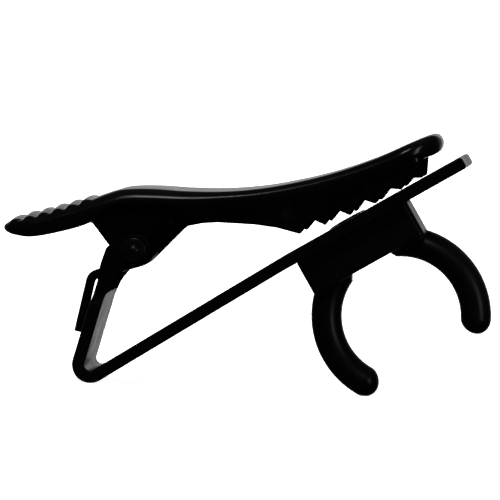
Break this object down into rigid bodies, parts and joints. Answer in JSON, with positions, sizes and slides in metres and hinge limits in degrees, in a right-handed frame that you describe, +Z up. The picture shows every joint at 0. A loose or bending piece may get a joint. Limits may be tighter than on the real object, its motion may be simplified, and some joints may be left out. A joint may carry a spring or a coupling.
{
  "type": "lapel microphone clip",
  "caption": "Sprung alligator clip for a garment edge, with a folded metal jaw, a toothed moulded thumb lever and a swivelling C-shaped ring that snaps around a small microphone.",
  "frame": {"origin": "on the floor under the middle of the clip, which rests on the bend of its metal jaw and on the lower end of its ring", "axes": "+X along the clip from the thumb pad to the nose, +Y across the clip along the hinge pin, +Z up"},
  "size_m": [0.0391, 0.0086, 0.0211],
  "materials": {
    "black_metal": "semi-gloss black coating",
    "black_plastic": "gloss black moulding",
    "dark_pin": "blackened steel",
    "spring_wire": "blackened spring wire",
    "bright_washer": "plain steel"
  },
  "bodies": {
    "jaw": {"lower_jaw": "black_metal", "pivot_pin": "dark_pin", "torsion_spring": "spring_wire", "swivel_rivet": "dark_pin"},
    "lever": {"thumb_lever": "black_plastic"},
    "holder": {"mic_holder": "black_plastic", "friction_washer": "bright_washer"}
  },
  "joints": [
    {"name": "jaw_hinge", "type": "hinge", "parent": "jaw", "child": "lever", "pos_m": [-0.00885, 0, 0.01073], "axis": [0, -1, 0], "range_deg": [0, 24], "stiffness_Nm_per_rad": 0.004, "springref_deg": -14.32, "deforming": ["torsion_spring"]},
    {"name": "holder_swivel", "type": "hinge", "parent": "jaw", "child": "holder", "pos_m": [0.01236, 0, 0.00652], "axis": [-0.5373, 0, 0.8434], "continuous": true}
  ]
}
